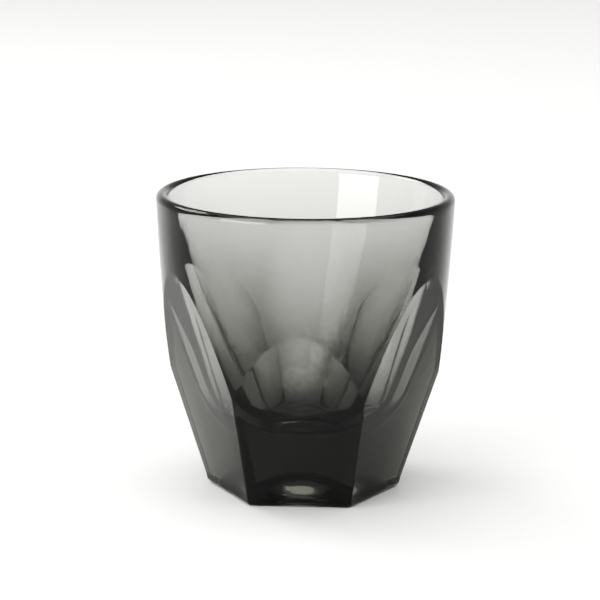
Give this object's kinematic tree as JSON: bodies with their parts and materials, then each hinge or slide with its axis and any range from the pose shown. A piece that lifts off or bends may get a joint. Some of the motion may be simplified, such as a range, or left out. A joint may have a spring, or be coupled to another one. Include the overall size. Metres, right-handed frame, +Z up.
{
  "type": "whiskey tumbler",
  "caption": "Pressed smoked-glass tumbler: round rim and bowl over a thick solid base whose flat facets rise in short and tall pointed arches from a hexagonal foot.",
  "frame": {"origin": "centre of the foot, on the surface that the glass stands on", "axes": "+Z up along the axis of the bowl; a facet with a short arch faces -Y and two corners of the foot lie close to the X axis"},
  "size_m": [0.08, 0.08, 0.0812],
  "materials": {
    "smoked_glass": "fire-polished, clear smoked grey"
  },
  "bodies": {
    "root": {"tumbler_glass": "smoked_glass"}
  },
  "joints": []
}
